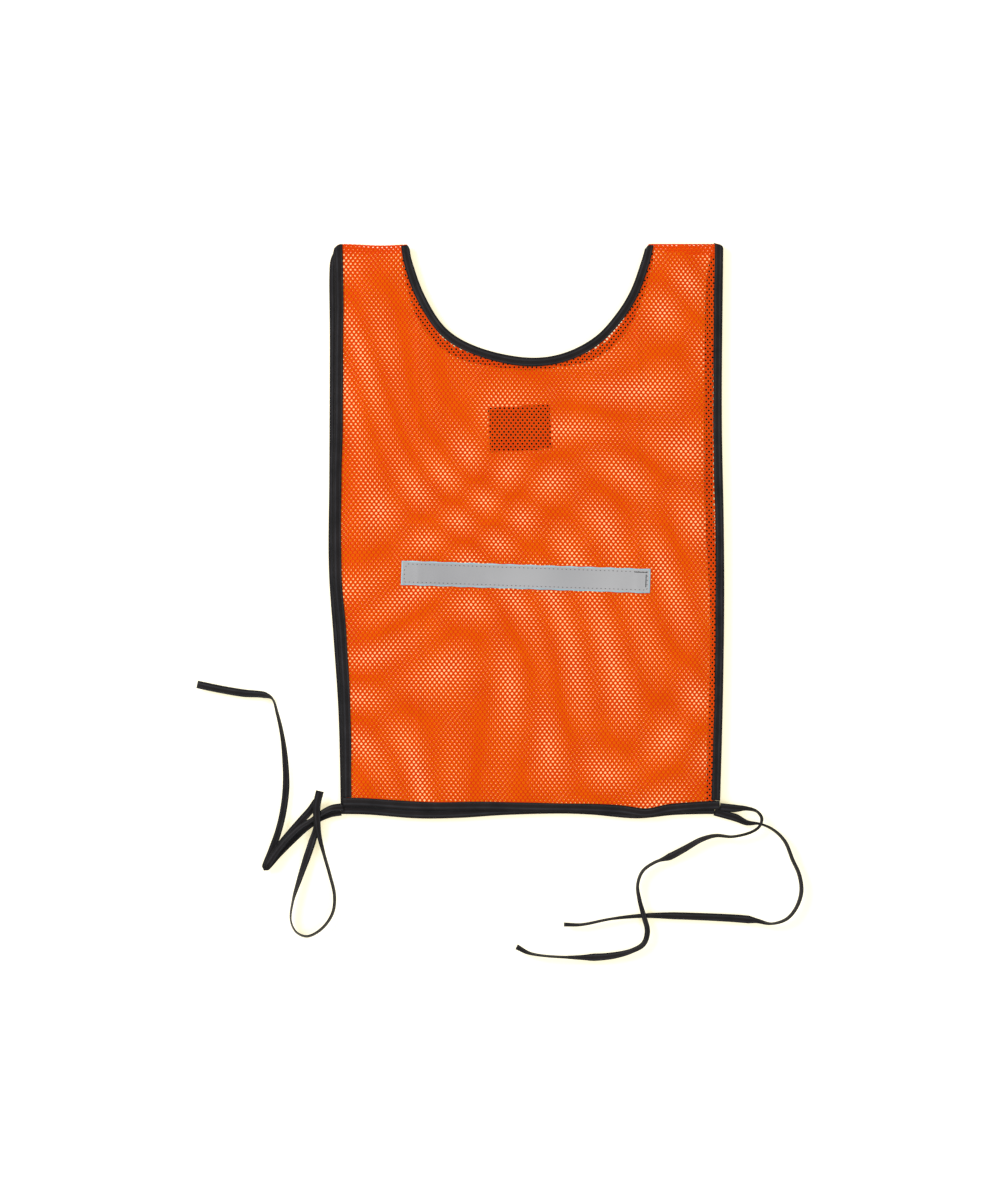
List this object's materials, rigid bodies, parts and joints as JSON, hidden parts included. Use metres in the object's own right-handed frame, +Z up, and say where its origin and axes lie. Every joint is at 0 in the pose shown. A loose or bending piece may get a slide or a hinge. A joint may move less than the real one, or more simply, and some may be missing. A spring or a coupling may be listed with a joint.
{
  "type": "high visibility vest",
  "caption": "Pull-over orange mesh safety vest with black bound edges, a silver reflective band front and back, and hem ties at both sides, laid flat.",
  "frame": {"origin": "on the surface the vest lies on, under the middle of the vest without its ties", "axes": "+X to the right of someone looking at the front, +Y towards the neck, +Z up, out of the front"},
  "size_m": [0.6292, 0.7423, 0.0057],
  "materials": {
    "mesh": "bright orange knitted polyester mesh with open holes",
    "binding": "black polyester binding tape, matt",
    "reflective": "silver grey retroreflective tape, satin",
    "label": "black woven satin label, blank",
    "thread": "spun polyester sewing thread"
  },
  "bodies": {
    "back": {"back_panel": "mesh", "back_neck_binding": "binding", "back_left_side_binding": "binding", "back_right_side_binding": "binding", "back_hem_binding": "binding", "back_left_tie": "binding", "back_right_tie": "binding", "back_reflective_strip": "reflective", "back_strip_stitching": "thread", "neck_label": "label", "label_stitching": "thread"},
    "front": {"front_panel": "mesh", "front_neck_binding": "binding", "front_left_side_binding": "binding", "front_right_side_binding": "binding", "front_hem_binding": "binding", "front_left_tie": "binding", "front_right_tie": "binding", "front_reflective_strip": "reflective", "front_strip_stitching": "thread", "left_shoulder_seam": "mesh", "right_shoulder_seam": "mesh"}
  },
  "joints": [
    {"name": "shoulder_fold", "type": "hinge", "parent": "back", "child": "front", "pos_m": [0.0035, 0.29615, 0.00205], "axis": [-1, 0, 0], "range_deg": [0, 180]}
  ]
}
